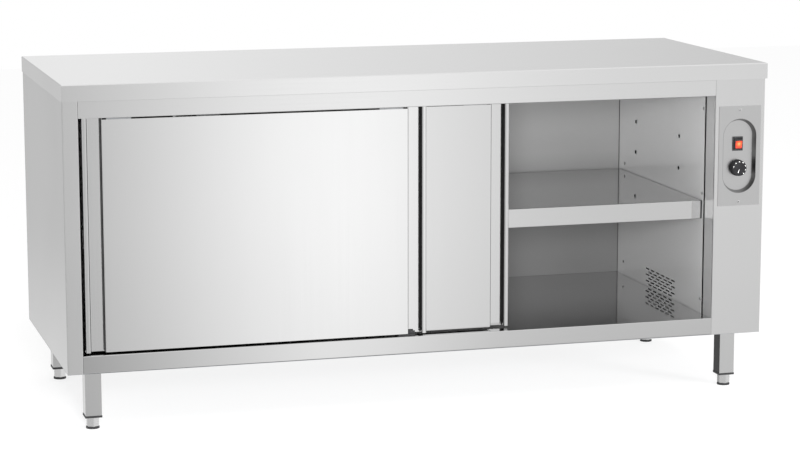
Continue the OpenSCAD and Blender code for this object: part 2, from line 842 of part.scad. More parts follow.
module switch_rocker() {
    face = 8;
    dip = 1.5;
    color(lamp_red) translate([plate_x, pivot_y, plate_z + switch_z]) rotate([rocker_tilt, 0, 0]) {
        translate([-rocker_w / 2, 0, 0]) rotate([90, 0, 90]) linear_extrude(rocker_w) intersection() {
            circle(r = rocker_r);
            polygon([[-face, -20], [dip - face, 0], [-face, 20], [6, 20], [6, -20]]);
        }
        bar_x([-rocker_w / 2 - 1.5, 0, 0], stub_d, rocker_w + 3);
    }
}

bush_d = 10;
thermostat_d = 40;

module thermostat_body() {
    back_y0 = dish_floor_y + dish_wall;
    color(zinc) translate([plate_x, 0, plate_z - knob_z]) difference() {
        union() {
            bar_y([0, dish_floor_y, 0], bush_d, dish_wall + cut);
            bar_y([0, back_y0, 0], thermostat_d, thermostat_len);
            box([-24, back_y0 + 6, -8], [24, back_y0 + 20, 8]);
        }
        bar_y([0, dish_floor_y - cut, 0], knob_shaft_d + 2 * run_fit, dish_wall + 16 + cut);
    }
}

module thermostat_shaft() {
    color(zinc) bar_y([plate_x, knob_y + 4, plate_z - knob_z], knob_shaft_d, dish_floor_y + 14 - knob_y);
}

module thermostat_knob() {
    rim = 1.5;
    color(dark) translate([plate_x, knob_y, plate_z - knob_z]) rotate([-90, 0, 0]) difference() {
        union() {
            cylinder(d1 = knob_d - 2 * rim, d2 = knob_d, h = rim);
            translate([0, 0, rim]) cylinder(d = knob_d, h = knob_t - rim);
        }
        translate([0, 0, 4]) cylinder(d = knob_shaft_d, h = knob_t);
    }
}

heater_hole_d = heater_d + 0.4;

module blower_housing() {
    h = sheet / 2;
    reach = fan_x + fan_d / 2 + fan_gap;
    top = fan_z + fan_d / 2 + 4;
    x0 = open_r + sheet;
    under = duct_b - h - duct_gap;
    lip_x = fan_x - fan_d / 2 - fan_gap / 2;
    color(zinc) difference() {
        union() {
            deep_sheet([[x0, under], [reach + h, under], [reach + h, top]],
                duct_front, duct_back, sheet, fan_d / 2);
            deep_sheet([[x0, duct_t + h], [lip_x, duct_t + h], [lip_x, duct_t + flange_w / 2]],
                duct_front, duct_back);
            for (y = [duct_front - sheet, duct_back])
                box([x0, y, under - h], [reach + sheet, y + sheet, top]);
        }
        bar_y([fan_x, duct_front - sheet - cut, fan_z], fan_shaft_d + 2 * run_fit, sheet + 2 * cut);
        bar_y([fan_x, duct_back - cut, fan_z], fan_shaft_d + 2 * run_fit, sheet + 2 * cut);
        for (s = [-1, 1])
            bar_y([heater_x, duct_back - cut, heater_z + s * heater_pitch / 2], heater_hole_d, sheet + 2 * cut);
    }
}

module blower_motor() {
    y = duct_back + sheet;
    color(zinc) difference() {
        union() {
            bar_y([fan_x, y, fan_z], motor_d, motor_len);
            bar_y([fan_x, y + motor_len, fan_z], motor_d / 2, 6);
            box([fan_x - motor_d / 2 - 3, y + 8, fan_z - motor_d / 2 - 3],
                [fan_x + motor_d / 2 + 3, y + 24, fan_z + motor_d / 2 + 3]);
        }
        bar_y([fan_x, y - cut, fan_z], fan_shaft_d + 2 * run_fit, 21 + cut);
    }
}

module blower_wheel() {
    y0 = fan_mid - fan_len / 2;
    disc_t = 2;
    blade = [1.2, 7];
    color(zinc) {
        for (y = [y0, fan_mid - disc_t / 2, y0 + fan_len - disc_t]) bar_y([fan_x, y, fan_z], fan_d, disc_t);
        bar_y([fan_x, duct_front - sheet - 3, fan_z], fan_shaft_d, duct_back + sheet + 18 - duct_front + sheet + 3);
        for (i = [0 : fan_blades - 1]) translate([fan_x, y0, fan_z]) rotate([0, i * 360 / fan_blades, 0])
            translate([fan_d / 2 - 5, 0, 0]) rotate([0, 35, 0])
                translate([-blade.y / 2, 0, -blade.x / 2]) cube([blade.y, fan_len, blade.x]);
    }
}

module heating_element() {
    y0 = duct_front + 6 + heater_pitch / 2 + heater_d / 2;
    y1 = duct_back + 14;
    fins = 14;
    color(zinc) {
        for (s = [-1, 1]) {
            z = heater_z + s * heater_pitch / 2;
            bar_y([heater_x, y0, z], heater_d, y1 - y0);
            for (i = [0 : fins - 1])
                bar_y([heater_x, y0 + 4 + i * (duct_back - 12 - y0) / fins, z], heater_fin_d, 0.8);
        }
        translate([heater_x, y0, heater_z]) rotate([0, 90, 0]) rotate([0, 0, 180])
            rotate_extrude(angle = 180) translate([heater_pitch / 2, 0]) circle(d = heater_d);
    }
}

gland_d = 16;

module cable_gland() {
    color(dark) translate([gland_x, gland_y, 0]) difference() {
        union() {
            translate([0, 0, base_z - 6]) cylinder(d = 24, h = 6, $fn = 6);
            translate([0, 0, base_z - 16]) cylinder(d1 = 15, d2 = 20, h = 10);
            translate([0, 0, base_z - 6]) cylinder(d = gland_d, h = 18);
            translate([0, 0, base_z + sheet]) cylinder(d = 22, h = 5, $fn = 6);
        }
        translate([0, 0, base_z - 16 - cut]) cylinder(d = gland_bore, h = 28 + 2 * cut);
    }
}

module shelf() {
    h = sheet / 2;
    lip_b = shelf_top - shelf_lip;
    rib_w = 30;
    color(inner_steel) {
        long_sheet([
            [shelf_front + 14, lip_b + h], [shelf_front + h, lip_b + h], [shelf_front + h, shelf_top - h],
            [shelf_back - h, shelf_top - h], [shelf_back - h, shelf_top - 30]
        ], shelf_l, shelf_r);
        for (s = [[shelf_l, 1], [shelf_r, -1]])
            deep_sheet([[s.x + s.y * 14, side_lip_b + h], [s.x + s.y * h, side_lip_b + h],
                [s.x + s.y * h, shelf_top - h], [s.x + s.y * 14, shelf_top - h]],
                shelf_front + 16, shelf_back - 2);
        for (y = [shelf_front + (shelf_back - shelf_front) / 3, shelf_front + (shelf_back - shelf_front) * 2 / 3])
            long_sheet([
                [y - rib_w, shelf_top - sheet - h], [y - rib_w / 2, shelf_top - sheet - h],
                [y - rib_w / 2, shelf_top - 20], [y + rib_w / 2, shelf_top - 20],
                [y + rib_w / 2, shelf_top - sheet - h], [y + rib_w, shelf_top - sheet - h]
            ], shelf_l + 30, shelf_r - 30);
    }
}

// Slot along a door's lower edge for the guide fins
module fin_slot(y) {
    box([-cut, y + door_t / 2 - fin_slot_w / 2, door_b - cut],
        [door_w + cut, y + door_t / 2 + fin_slot_w / 2, door_b + fin_h + 2]);
}

module door_skin(x, y) {
    color(steel) translate([x, 0, 0]) difference() {
        box([grip_w, y, door_b], [door_w - grip_w, y + door_t - sheet, door_top]);
        box([grip_w + sheet, y + sheet, door_b + sheet], [door_w - grip_w - sheet, y + door_t, door_top - sheet]);
        fin_slot(y);
    }
}

module door_back(x, y) {
    gap = sheet + fit;
    color(zinc) translate([x, 0, 0]) difference() {
        union() {
            box([grip_w, y + door_t - sheet, door_b], [door_w - grip_w, y + door_t, door_top]);
            box([grip_w + gap, y + door_t - 8, door_b + gap], [door_w - grip_w - gap, y + door_t, door_top - gap]);
        }
        box([grip_w + gap + sheet, y + door_t - 8 - cut, door_b + gap + sheet],
            [door_w - grip_w - gap - sheet, y + door_t - sheet, door_top - gap - sheet]);
        fin_slot(y);
    }
}

bead_inner_r = 3;
bead_outer_r = 4.5;

// One grip channel: the bead at the door's edge, the groove's floor and the wall beside the skin
module grip_channel() {
    h = sheet / 2;
    back = door_t - h;
    upright_sheet([
        [bead_w - h, back], [bead_w - h, h], [h, h], [h, back], [grip_w - h, back], [grip_w - h, 3]
    ], door_b, grip_top, sheet, [bead_inner_r, bead_outer_r, fold_r, fold_r]);
}

module grip_liners() {
    box([bead_w, bead_inner_r + 1, door_b], [bead_w + liner_t, door_t - sheet, grip_top]);
    box([grip_w - sheet - liner_t, 3, door_b], [grip_w - sheet, door_t - sheet - fold_r, grip_top]);
}

// Places children at both upright edges of a door
module both_edges(x, y) {
    translate([x, y, 0]) children();
    translate([x + door_w, y, 0]) mirror([1, 0, 0]) children();
}

module door_grips(x, y) {
    color(steel) difference() {
        both_edges(x, y) grip_channel();
        translate([x, 0, 0]) fin_slot(y);
    }
}

module door_liners(x, y) {
    color(dark) difference() {
        both_edges(x, y) grip_liners();
        translate([x, 0, 0]) fin_slot(y);
    }
}

module door_hangers(x, y) {
    mid = y + door_t / 2;
    color(zinc) for (hx = [x + hanger_in, x + door_w - hanger_in]) difference() {
        union() {
            box([hx - hanger_foot_l / 2, mid - 7, door_top],
                [hx + hanger_foot_l / 2, mid + 7, door_top + hanger_foot_t]);
            box([hx - hanger_w / 2, mid - hanger_t / 2, door_top],
                [hx + hanger_w / 2, mid + hanger_t / 2, axle_z]);
            bar_y([hx, mid - hanger_t / 2, axle_z], 14, hanger_t);
        }
        bar_y([hx, mid - hanger_t, axle_z], axle_d + 2 * run_fit, 2 * hanger_t);
    }
}

module wheel_pair(x, y) {
    mid = y + door_t / 2;
    gap = hanger_t / 2 + 0.5;
    color(dark) {
        bar_y([x, mid - gap - wheel_w, axle_z], axle_d, 2 * (gap + wheel_w));
        bar_y([x, mid - gap - wheel_w, axle_z], wheel_d, wheel_w);
        bar_y([x, mid + gap, axle_z], wheel_d, wheel_w);
    }
}

worktop();
worktop_underlay();
left_side_panel();
right_side_panel();
rear_panel();
control_fascia();
left_inner_wall();
right_inner_wall();
inner_back_wall();
inner_ceiling();
floor_panel();
under_panel();
top_rail();
door_track();
door_guide();
door_bumpers();
insulation_slabs();
shelf_inserts();
wall_rivets();
shelf_pins();
leg(0, 0);  // leg_front_left
leg(1, 0);  // leg_front_right
leg(0, 1);  // leg_rear_left
leg(1, 1);  // leg_rear_right
leg_plugs();
control_plate();
cover_screws();
switch_housing();
switch_rocker();
thermostat_body();
thermostat_shaft();
thermostat_knob();
blower_housing();
blower_motor();
blower_wheel();
heating_element();
cable_gland();
shelf();
door_skin(front_door_x, front_door_y);  // front_door_skin
door_back(front_door_x, front_door_y);  // front_door_back
door_grips(front_door_x, front_door_y);  // front_door_grips
door_liners(front_door_x, front_door_y);  // front_door_liners
door_hangers(front_door_x, front_door_y);  // front_door_hangers
wheel_pair(front_door_x + hanger_in, front_door_y);  // front_door_wheels_left
wheel_pair(front_door_x + door_w - hanger_in, front_door_y);  // front_door_wheels_right
door_skin(rear_door_x, rear_door_y);  // rear_door_skin
door_back(rear_door_x, rear_door_y);  // rear_door_back
door_grips(rear_door_x, rear_door_y);  // rear_door_grips
door_liners(rear_door_x, rear_door_y);  // rear_door_liners
door_hangers(rear_door_x, rear_door_y);  // rear_door_hangers
wheel_pair(rear_door_x + hanger_in, rear_door_y);  // rear_door_wheels_left
wheel_pair(rear_door_x + door_w - hanger_in, rear_door_y);  // rear_door_wheels_right
foot_pad(0, 0);  // foot_pad_front_left
foot_pad(1, 0);  // foot_pad_front_right
foot_pad(0, 1);  // foot_pad_rear_left
foot_pad(1, 1);  // foot_pad_rear_right
foot_spindle(0, 0);  // foot_spindle_front_left
foot_spindle(1, 0);  // foot_spindle_front_right
foot_spindle(0, 1);  // foot_spindle_rear_left
foot_spindle(1, 1);  // foot_spindle_rear_right
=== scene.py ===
# Plate warmer cabinet: finishes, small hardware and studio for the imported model
import math

import bmesh
import bpy
from mathutils import Matrix, Vector


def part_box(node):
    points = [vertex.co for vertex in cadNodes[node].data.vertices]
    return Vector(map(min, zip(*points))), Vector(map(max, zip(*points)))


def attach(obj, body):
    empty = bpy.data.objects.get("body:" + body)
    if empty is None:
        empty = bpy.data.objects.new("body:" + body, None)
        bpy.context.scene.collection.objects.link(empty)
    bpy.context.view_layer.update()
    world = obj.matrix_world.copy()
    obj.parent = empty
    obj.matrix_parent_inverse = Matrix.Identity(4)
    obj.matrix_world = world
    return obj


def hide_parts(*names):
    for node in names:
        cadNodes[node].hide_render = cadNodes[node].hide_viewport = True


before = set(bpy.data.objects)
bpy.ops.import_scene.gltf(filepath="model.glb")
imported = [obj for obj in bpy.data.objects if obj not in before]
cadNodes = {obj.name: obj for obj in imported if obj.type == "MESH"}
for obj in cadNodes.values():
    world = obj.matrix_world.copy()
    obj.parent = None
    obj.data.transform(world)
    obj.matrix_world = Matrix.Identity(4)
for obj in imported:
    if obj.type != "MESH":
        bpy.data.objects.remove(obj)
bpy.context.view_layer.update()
collection = bpy.context.scene.collection
print("frame loaded:", len(cadNodes), "nodes")

# Camera
viewpoint = {
    "place": (-1.7376, -6.1761, 1.5139),  # metres, in the cabinet's own frame
    "yaw": 0.2784,  # radians towards +X
    "pitch": 0.1693,  # radians below the horizon
    "roll": 0.0008,
    "lens": 112.43,  # mm
    "sensor": 36,  # mm
    "sight": 60,  # metres
}


def addCamera(look):
    yaw, pitch, roll = look["yaw"], look["pitch"], look["roll"]
    flat = math.cos(pitch)
    forward = Vector((math.sin(yaw) * flat, math.cos(yaw) * flat, -math.sin(pitch)))
    level = Vector((math.cos(yaw), -math.sin(yaw), 0))
    right = Matrix.Rotation(roll, 3, forward) @ level
    turn = Matrix((right, right.cross(forward), -forward)).transposed()
    data = bpy.data.cameras.new("camera")
    data.lens, data.sensor_width, data.clip_end = look["lens"], look["sensor"], look["sight"]
    camera = bpy.data.objects.new("camera", data)
    camera.matrix_world = Matrix.Translation(look["place"]) @ turn.to_4x4()
    collection.objects.link(camera)
    bpy.context.scene.camera = camera


addCamera(viewpoint)


# Node trees: a wire is a node's output, and sums on wires add their own nodes
class Wire:
    def __init__(self, tree, socket):
        self.tree, self.socket = tree, socket

    def __add__(self, other):
        return self.tree.maths("ADD", self, other)

    def __sub__(self, other):
        return self.tree.maths("SUBTRACT", self, other)

    def __rsub__(self, other):
        return self.tree.maths("SUBTRACT", other, self)

    def __mul__(self, other):
        return self.tree.maths("MULTIPLY", self, other)

    def __truediv__(self, other):
        return self.tree.maths("DIVIDE", self, other)

    __radd__ = __add__
    __rmul__ = __mul__


class NodeTree:
    def __init__(self, tree):
        self.tree = tree
        tree.nodes.clear()

    # settings are set first; values go to the sockets by name or number, and may be wires
    def add(self, kind, settings=None, values=None, out=0):
        node = self.tree.nodes.new(kind)
        for key, value in (settings or {}).items():
            if key == "stops":
                self.setStops(node.color_ramp, value)
            else:
                setattr(node, key, value)
        for key, value in (values or {}).items():
            if isinstance(value, Wire):
                self.tree.links.new(value.socket, node.inputs[key])
            else:
                node.inputs[key].default_value = value
        return Wire(self, node.outputs[out]) if len(node.outputs) else None

    def setStops(self, ramp, stops):
        while len(ramp.elements) < len(stops):
            ramp.elements.new(1)
        for element, (place, colour) in zip(ramp.elements, stops):
            element.position, element.color = place, colour

    # all the outputs of one node, picked by name or number
    def parts(self, kind, vector=None):
        node = self.tree.nodes.new(kind)
        if vector:
            self.tree.links.new(vector.socket, node.inputs[0])
        return lambda key: Wire(self, node.outputs[key])

    def maths(self, operation, *values):
        return self.add("ShaderNodeMath", {"operation": operation}, dict(enumerate(values)))

    def blend(self, amount, a, b):
        values = {"Factor": amount, 6: a, 7: b}
        return self.add("ShaderNodeMix", {"data_type": "RGBA"}, values, 2)

    def limit(self, value, low=0, high=1):
        return self.add("ShaderNodeClamp", None, {"Value": value, "Min": low, "Max": high})


def rgb(r, g=None, b=None):
    return (r, r if g is None else g, r if b is None else b, 1)


class Finish(NodeTree):
    def __init__(self, name):
        self.material = bpy.data.materials.new(name)
        self.material.use_nodes = True
        super().__init__(self.material.node_tree)
        self.place = self.add("ShaderNodeTexCoord", out="Object")

    def along(self, axis):
        return self.add("ShaderNodeSeparateXYZ", None, {0: self.place}, "XYZ".index(axis))

    def stretched(self, scale):
        return self.add("ShaderNodeMapping", None, {"Vector": self.place, "Scale": scale})

    def noise(self, scale, detail=2, rough=0.5, where=None):
        values = {"Vector": where or self.place, "Scale": scale, "Detail": detail, "Roughness": rough}
        return self.add("ShaderNodeTexNoise", None, values)

    def bump(self, height, depth, strength):
        values = {"Height": height, "Distance": depth, "Strength": strength}
        return self.add("ShaderNodeBump", None, values)

    def finish(self, sockets):
        shader = self.add("ShaderNodeBsdfPrincipled", None, sockets)
        self.add("ShaderNodeOutputMaterial", None, {"Surface": shader})
        return self.material


# Brushed stainless sheet: fine streaks along one axis, under long soft smudges
brushedLook = {
    "along": 1.6,  # scale of the streaks along the grain, and across it
    "across": 620,
    "streakDetail": (3, 0.65),
    "smudge": (2.3, 3),
    "streakTone": 0.24,  # weights in the tone, which moves by the spread at most
    "smudgeTone": 0.25,
    "toneSpread": 0.05,
    "streakRough": 0.08,
    "smudgeRough": 0.05,
    "roughLimits": (0.03, 0.9),
    "relief": (0.00001, 0.25),  # depth in metres, strength
}


# shadeWith(finish) may give a mask of painted shade, where the tone falls to its shaded share; metal may
# be a mask too
def brushedSteel(name, tone, grain, rough, metal=1.0, shadeWith=None, shadedShare=1.0):
    look, f = brushedLook, Finish(name)
    scale = [look["along"] if axis == grain else look["across"] for axis in "xyz"]
    streaks = f.noise(1, *look["streakDetail"], f.stretched(scale))
    scratch, smudge = streaks - 0.5, f.noise(*look["smudge"]) - 0.5
    shade = scratch * look["streakTone"] + smudge * look["smudgeTone"] + 0.5
    dark, pale = rgb(tone * (1 - look["toneSpread"])), rgb(min(1, tone * (1 + look["toneSpread"])))
    colour = f.blend(f.limit(shade), dark, pale)
    if shadeWith:
        colour = f.blend(f.limit(shadeWith(f)), colour, rgb(tone * shadedShare))
    roughness = scratch * look["streakRough"] + smudge * look["smudgeRough"] + rough
    return f.finish({
        "Base Color": colour,
        "Metallic": metal(f) if callable(metal) else metal,
        "Roughness": f.limit(roughness, *look["roughLimits"]),
        "Normal": f.bump(streaks, *look["relief"]),
    })


# Plated or cast small metal: fine mottling instead of a grain
platedLook = {
    "patch": 18,
    "toneRange": (0.85, 1.12),
    "mottleRough": 0.2,
    "roughLimits": (0.05, 0.95),
    "relief": (0.00002, 0.4),
}


def platedMetal(name, tone, rough, tint=(1, 1, 1), fleck=900):
    look, f = platedLook, Finish(name)
    mottle = f.noise(fleck)
    patch = f.noise(look["patch"])
    dark, pale = [rgb(*(tone * k * t for t in tint)) for k in look["toneRange"]]
    roughness = (mottle - 0.5) * look["mottleRough"] + rough
    return f.finish({
        "Base Color": f.blend(f.limit(mottle * 0.5 + patch * 0.5), dark, pale),
        "Metallic": 1.0,
        "Roughness": f.limit(roughness, *look["roughLimits"]),
        "Normal": f.bump(mottle, *look["relief"]),
    })


# Moulded plastic or rubber with a spark-eroded skin and a little dust
mouldedLook = {
    "dust": (35, 3),
    "dustFrom": 0.4,
    "dustGain": 1.5,
    "dustTone": (1.35, 0.01),  # a dusty place is this many times the colour, plus this
    "pebbleRough": 0.25,
    "roughLimits": (0.1, 1),
    "reliefStrength": 0.6,
}


def mouldedPlastic(name, colour, rough=0.45, skin=1400, depth=0.00004, sheen=0.5):
    look, f = mouldedLook, Finish(name)
    pebble = f.noise(skin)
    dust = f.noise(*look["dust"])
    times, plus = look["dustTone"]
    pale = [min(1, c * times + plus) for c in colour]
    dusty = f.limit((dust - look["dustFrom"]) * look["dustGain"])
    roughness = (pebble - 0.5) * look["pebbleRough"] + rough
    return f.finish({
        "Base Color": f.blend(dusty, rgb(*colour), rgb(*pale)),
        "Roughness": f.limit(roughness, *look["roughLimits"]),
        "Specular IOR Level": sheen,
        "Normal": f.bump(pebble, depth, look["reliefStrength"]),
    })


chipboardLook = {
    "chips": 220,
    "dark": (0.42, 0.30, 0.17),
    "pale": (0.74, 0.60, 0.40),
    "rough": 0.8,
    "relief": (0.0003, 0.5),
}


def chipboardFinish(look):
    f = Finish("chipboard")
    chips = f.add("ShaderNodeTexVoronoi", None, {"Vector": f.place, "Scale": look["chips"]}, "Color")
    tone = f.add("ShaderNodeRGBToBW", None, {"Color": chips})
    return f.finish({
        "Base Color": f.blend(tone, rgb(*look["dark"]), rgb(*look["pale"])),
        "Roughness": look["rough"],
        "Normal": f.bump(tone, *look["relief"]),
    })


# Mineral wool faced with black fleece
woolLook = {
    "strands": (60, 60, 700),
    "strandDetail": (4, 0.6),
    "dark": (0.010, 0.010, 0.009),
    "pale": (0.035, 0.034, 0.030),
    "rough": 0.95,
    "relief": (0.001, 0.8),
}


def woolFinish(look):
    f = Finish("mineralWool")
    strands = f.noise(1, *look["strandDetail"], f.stretched(look["strands"]))
    return f.finish({
        "Base Color": f.blend(strands, rgb(*look["dark"]), rgb(*look["pale"])),
        "Roughness": look["rough"],
        "Normal": f.bump(strands, *look["relief"]),
    })


# Red lens over a small lamp: the glow is strongest around the lamp's own place
lampLook = {
    "offset": (0.0012, -0.008, -0.0005),  # metres from the middle of the rocker
    "reach": 0.0125,
    "lens": (0.28, 0.02, 0.012),
    "rough": 0.22,
    "glow": [(0.0, rgb(0.22, 0.015, 0.006)), (0.30, rgb(0.42, 0.035, 0.012)),
             (0.62, rgb(0.85, 0.20, 0.03)), (1.0, rgb(1.0, 0.72, 0.28))],
    "strength": 0.9,
}


def lampFinish(look):
    f = Finish("rockerLamp")
    low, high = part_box("switch_rocker")
    lamp = tuple((low + high) / 2 + Vector(look["offset"]))
    offset = f.add("ShaderNodeVectorMath", {"operation": "SUBTRACT"}, {0: f.place, 1: lamp})
    away = f.add("ShaderNodeVectorMath", {"operation": "LENGTH"}, {0: offset}, "Value")
    glow = f.limit(1 - away / look["reach"])
    return f.finish({
        "Base Color": rgb(*look["lens"]),
        "Roughness": look["rough"],
        "Emission Color": f.add("ShaderNodeValToRGB", {"stops": look["glow"]}, {"Fac": glow}),
        "Emission Strength": look["strength"],
    })


# Masks on the place in metres: 1 past an edge, 0 before it, with a ramp of some width between
def past(f, axis, edge, width):
    return f.limit((f.along(axis) - edge) / width)


# Painted shade on the shelf: its upper side is darker than its lip, and its right and rear edges are dark
shelfLook = {"right": 0.7578, "rear": 0.3136, "top": 0.4892, "blur": 0.0004, "topShade": 0.42}


def shelfPaintedShade(f, look=shelfLook):
    blur = look["blur"]
    edges = f.maths("MAXIMUM", past(f, "X", look["right"], blur), past(f, "Y", look["rear"], blur))
    return f.maths("MAXIMUM", past(f, "Z", look["top"], blur) * look["topShade"], edges)


# Painted shade on the floor: dark along its rear edge, and a little darker on top than on its front
floorLook = {"rear": (0.3300, 0.0005), "top": (0.1925, 0.0004), "front": (-0.334, 0.002),
             "topShade": 0.12}


def floorPaintedShade(f, look=floorLook):
    top = past(f, "Z", *look["top"]) * past(f, "Y", *look["front"])
    return past(f, "Y", *look["rear"]) + top * look["topShade"]


# Painted shade on the back wall: darker in its lower half, and a dark seam in its corner
backWallLook = {"seam": (0.7606, 0.0003), "middle": (0.42, 0.12), "lowShade": 0.5}


def backWallPaintedShade(f, look=backWallLook):
    low = 1 - past(f, "Z", *look["middle"])
    return past(f, "X", *look["seam"]) + low * look["lowShade"]


# Painted shade on the wall of the control plate's dish, which lies between two stadium outlines about its
# middle
dishLook = {
    "x": 0.83025,
    "z": 0.613,
    "straight": 0.05,  # half the height of the straight part
    "inner": (0.0396, 0.0006),  # radius of the outline, blur
    "outer": (0.0459, 0.0004),
}


def dishWallPaintedShade(f, look=dishLook):
    (inner, innerBlur), (outer, outerBlur) = look["inner"], look["outer"]
    across = f.along("X") - look["x"]
    rise = f.maths("ABSOLUTE", f.along("Z") - look["z"]) - look["straight"]
    rise = f.maths("MAXIMUM", rise, 0)
    reach = f.maths("SQRT", across * across + rise * rise)
    return f.limit((reach - inner) / innerBlur) * f.limit((outer - reach) / outerBlur)


# The jamb's face is less metallic than the front of the strip beside it
jambLook = {"face": (-0.3395, 0.001), "end": (0.768, 0.001), "scatter": 0.32}


def jambMetal(f, look=jambLook):
    return 1 - past(f, "Y", *look["face"]) * (1 - past(f, "X", *look["end"])) * look["scatter"]


# Painted dark reflection: the left faces of the legs right of the middle are dark
legLook = {"middle": (0, 0.01)}


def legPaintedReflection(f, look=legLook):
    facing = f.add("ShaderNodeNewGeometry", out="Normal")
    sideways = f.add("ShaderNodeSeparateXYZ", None, {0: facing}, 0) * -1
    return f.limit(sideways) * past(f, "X", *look["middle"])


# name, tone, direction of the grain, roughness
steel = {
    "worktop": brushedSteel("worktopSteel", 0.84, "x", 0.16),
    "door": brushedSteel("doorSteel", 0.84, "z", 0.12),
    "grip": brushedSteel("gripSteel", 0.80, "z", 0.12),
    "upright": brushedSteel("uprightSteel", 0.80, "z", 0.16, metal=jambMetal),
    "rail": brushedSteel("railSteel", 0.82, "x", 0.16),
    "side": brushedSteel("sideSteel", 0.80, "z", 0.2),
    "rearDoor": brushedSteel("rearDoorSteel", 0.74, "z", 0.12),
    "backWall": brushedSteel("backWallSteel", 0.40, "x", 0.42, metal=0.5, shadeWith=backWallPaintedShade,
                             shadedShare=0.15),
    "endWall": brushedSteel("endWallSteel", 0.93, "z", 0.05, metal=0.64),
    "shelf": brushedSteel("shelfSteel", 0.72, "x", 0.06, shadeWith=shelfPaintedShade, shadedShare=0.1),
    "floor": brushedSteel("floorSteel", 0.70, "x", 0.05, shadeWith=floorPaintedShade, shadedShare=0.1),
    "plate": brushedSteel("controlPlateSteel", 0.66, "z", 0.3, shadeWith=dishWallPaintedShade, shadedShare=0.48),
    "leg": brushedSteel("legSteel", 0.73, "z", 0.16, shadeWith=legPaintedReflection, shadedShare=0.15),
}
coolTint, warmTint = (0.98, 1.0, 1.03), (1.05, 1.0, 0.92)
zinc = platedMetal("zincPlate", 0.66, 0.36, coolTint)
bright = platedMetal("screwSteel", 0.86, 0.24)
ductSteel = platedMetal("ductSteel", 0.16, 0.5, coolTint)
castMetal = platedMetal("motorMetal", 0.5, 0.5, fleck=400)
aluminium = brushedSteel("trackAluminium", 0.70, "x", 0.4)
heaterMetal = platedMetal("heaterMetal", 0.33, 0.5, warmTint)
blackPlastic = mouldedPlastic("blackPlastic", (0.018, 0.018, 0.019))
# Near-black that is painted shade: on the grip grooves' walls, in the inserts' bores and in the screws'
# cross recesses
shadeBlack = mouldedPlastic("paintedShadeBlack", (0.006, 0.006, 0.006), 0.7, sheen=0.15)
knobPlastic = mouldedPlastic("knobPlastic", (0.012, 0.012, 0.013), 0.6, sheen=0.2)
rubber = mouldedPlastic("bumperRubber", (0.02, 0.02, 0.02), 0.75, 900)
whiteInk = mouldedPlastic("whiteInk", (0.82, 0.82, 0.80), 0.5, 2000, 0.00001)
chipboard = chipboardFinish(chipboardLook)
mineralWool = woolFinish(woolLook)
rockerLamp = lampFinish(lampLook)
print("finishes ready")

finishOf = {
    "worktop": steel["worktop"],
    "worktop_underlay": chipboard,
    "left_side_panel": steel["side"],
    "right_side_panel": steel["side"],
    "rear_panel": steel["side"],
    "control_fascia": steel["upright"],
    "left_inner_wall": steel["endWall"],
    "right_inner_wall": steel["endWall"],
    "inner_back_wall": steel["backWall"],
    "inner_ceiling": steel["backWall"],
    "floor_panel": steel["floor"],
    "under_panel": zinc,
    "top_rail": steel["rail"],
    "door_track": aluminium,
    "door_guide": blackPlastic,
    "door_bumpers": rubber,
    "rear_door_skin": steel["rearDoor"],
    "rear_door_grips": steel["rearDoor"],
    "insulation_slabs": mineralWool,
    "shelf_inserts": zinc,
    "wall_rivets": bright,
    "shelf_pins": bright,
    "leg_plugs": blackPlastic,
    "control_plate": steel["plate"],
    "cover_screws": bright,
    "switch_housing": blackPlastic,
    "switch_rocker": rockerLamp,
    "thermostat_body": castMetal,
    "thermostat_shaft": bright,
    "thermostat_knob": knobPlastic,
    "blower_housing": ductSteel,
    "blower_motor": castMetal,
    "blower_wheel": zinc,
    "heating_element": heaterMetal,
    "cable_gland": blackPlastic,
    "shelf": steel["shelf"],
}

# Nodes that aren't named above, by a part of their name
finishByPart = {
    "leg_": steel["leg"],
    "foot_pad": blackPlastic,
    "foot_spindle": bright,
    "door_skin": steel["door"],
    "door_back": steel["side"],
    "door_grips": steel["grip"],
    # the liners on the grip grooves' walls are painted shade
    "door_liners": shadeBlack,
    "door_hangers": zinc,
    "door_wheels": blackPlastic,
}


def finishFor(name):
    if name in finishOf:
        return finishOf[name]
    return next(finish for part, finish in finishByPart.items() if part in name)


for name, node in cadNodes.items():
    node.data.materials.clear()
    node.data.materials.append(finishFor(name))
print("finishes set on the nodes")


# The hardware's sizes are in mm, and Blender's are in metres
def metres(point):
    return tuple(v / 1000 for v in point)


crisp = {"turned": 0.6, "cut": 0.4}  # radians between faces, from where an edge stays crisp


# Turned shape: rings of (radius, height) about the Z axis; a third number is the depth of flutes
def turnedMesh(name, profile, sides=32, flutes=0):
    shape = bmesh.new()
    rings = []
    for radius, height, *depth in profile:
        if radius == 0:
            rings.append([shape.verts.new(metres((0, 0, height)))])
            continue
        ring = []
        for k in range(sides):
            angle = 2 * math.pi * k / sides
            reach = radius - (depth[0] * (0.5 + 0.5 * math.cos(flutes * angle)) if depth else 0)
            point = metres((reach * math.cos(angle), reach * math.sin(angle), height))
            ring.append(shape.verts.new(point))
        rings.append(ring)
    if profile[0][0] > 0:
        rings.append(rings[0])  # a tube closes on its first ring
    for low, high in zip(rings, rings[1:]):
        for k in range(sides):
            n = k + 1
            corners = (low[k % len(low)], low[n % len(low)], high[n % len(high)], high[k % len(high)])
            shape.faces.new(list(dict.fromkeys(corners)))
    return cleanMesh(name, shape, crisp["turned"])


# Closed mesh with soft curves and crisp corners
def cleanMesh(name, shape, limit):
    bmesh.ops.recalc_face_normals(shape, faces=shape.faces)
    for face in shape.faces:
        face.smooth = True
    for edge in shape.edges:
        edge.smooth = edge.calc_face_angle(0) < limit
    mesh = bpy.data.meshes.new(name)
    shape.to_mesh(mesh)
    shape.free()
    return mesh


